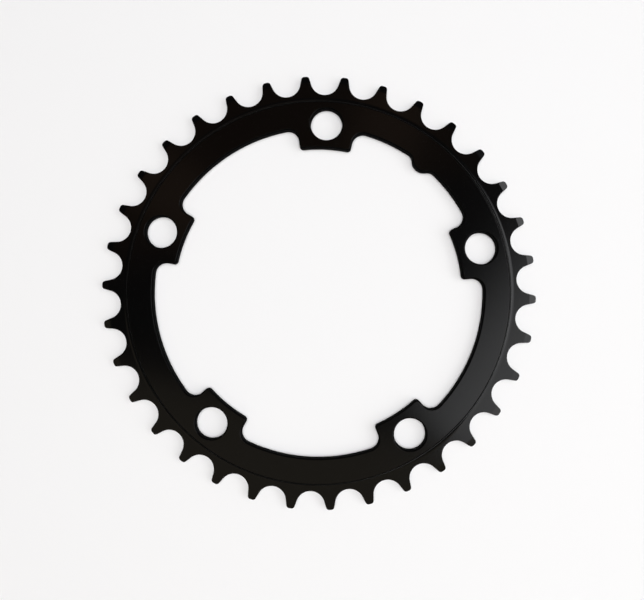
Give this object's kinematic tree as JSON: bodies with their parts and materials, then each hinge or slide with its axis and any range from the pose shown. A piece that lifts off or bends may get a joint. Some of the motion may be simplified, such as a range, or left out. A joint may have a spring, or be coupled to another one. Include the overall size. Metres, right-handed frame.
{
  "type": "bicycle chainring",
  "caption": "Flat bicycle chainring: a toothed ring with inward lugs drilled for crank bolts, a small alignment tab on the inner rim and a thinner tooth band.",
  "frame": {"origin": "on the ring's axis, in the plane of the back face that it lies on", "axes": "+Z along the axis, out of the face that the picture shows; +Y from the axis to the alignment tab; +X to the right of the tab, seen from +Z"},
  "size_m": [0.1416, 0.142, 0.0035],
  "materials": {
    "black_anodised_aluminium": "satin black anodised"
  },
  "bodies": {
    "root": {"chainring": "black_anodised_aluminium"}
  },
  "joints": []
}
